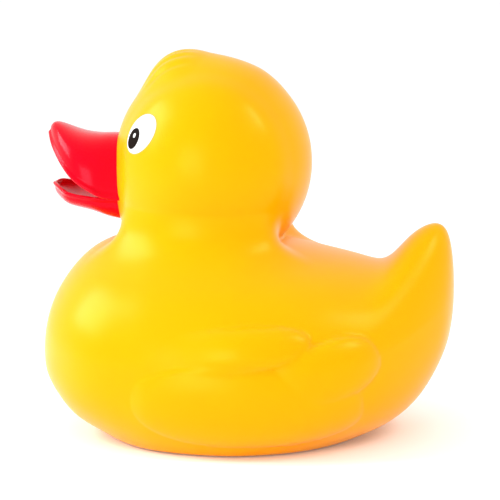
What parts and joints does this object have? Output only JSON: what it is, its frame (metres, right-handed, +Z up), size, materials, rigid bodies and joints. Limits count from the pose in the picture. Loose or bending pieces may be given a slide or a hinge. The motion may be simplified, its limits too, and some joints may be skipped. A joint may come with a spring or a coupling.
{
  "type": "floating chlorine dispenser",
  "caption": "Duck-shaped pool float with a telescopic tablet canister in its base, a turning dosing ring over the water windows and a screw cap below.",
  "frame": {"origin": "centre of the bounding box in plan, at the plane the duck stands on", "axes": "+Z up, the duck faces -Y, its left side is +X"},
  "size_m": [0.158, 0.21, 0.1948],
  "materials": {
    "yellow_vinyl": "soft satin vinyl",
    "red_paint": "gloss",
    "white_paint": "gloss",
    "black_paint": "gloss",
    "white_plastic": "satin",
    "blue_plastic": "satin",
    "grey_plastic": "satin",
    "black_rubber": "matt",
    "stainless": "satin",
    "ballast": "coated, matt",
    "chlorine_tablet": "pressed powder"
  },
  "bodies": {
    "float": {"float_shell": "yellow_vinyl", "bill": "red_paint", "eye_left": "white_paint", "eye_right": "white_paint", "pupil_left": "black_paint", "pupil_right": "black_paint", "guide_sleeve": "white_plastic", "sleeve_lid": "white_plastic", "lid_seal": "black_rubber", "base_gasket": "black_rubber", "clamp_ring": "grey_plastic", "clamp_screws": "stainless", "ballast_ring": "ballast"},
    "canister": {"canister_tube": "white_plastic", "canister_head": "white_plastic", "drag_ring": "black_rubber"},
    "dosing": {"dosing_ring": "blue_plastic"},
    "tablet_stack": {"tablet_tray": "white_plastic", "tablet_lower": "chlorine_tablet", "tablet_upper": "chlorine_tablet"},
    "cap": {"base_cap": "blue_plastic"}
  },
  "joints": [
    {"name": "canister_slide", "type": "slide", "parent": "float", "child": "canister", "axis": [0, 0, -1], "range_m": [0, 0.052]},
    {"name": "dosing_turn", "type": "hinge", "parent": "canister", "child": "dosing", "pos_m": [0, 0, 0.045], "axis": [0, 0, 1], "range_deg": [0, 22.5]},
    {"name": "cap_drop", "type": "slide", "parent": "canister", "child": "tablet_stack", "axis": [0, 0, -1], "range_m": [0, 0.01]},
    {"name": "cap_turn", "type": "hinge", "parent": "tablet_stack", "child": "cap", "pos_m": [0, 0, 0.005], "axis": [0, 0, -1], "range_deg": [0, 720]}
  ],
  "couplings": [
    {"joint": "cap_drop", "follows": "cap_turn", "m_per_rad": 0.00079577}
  ]
}
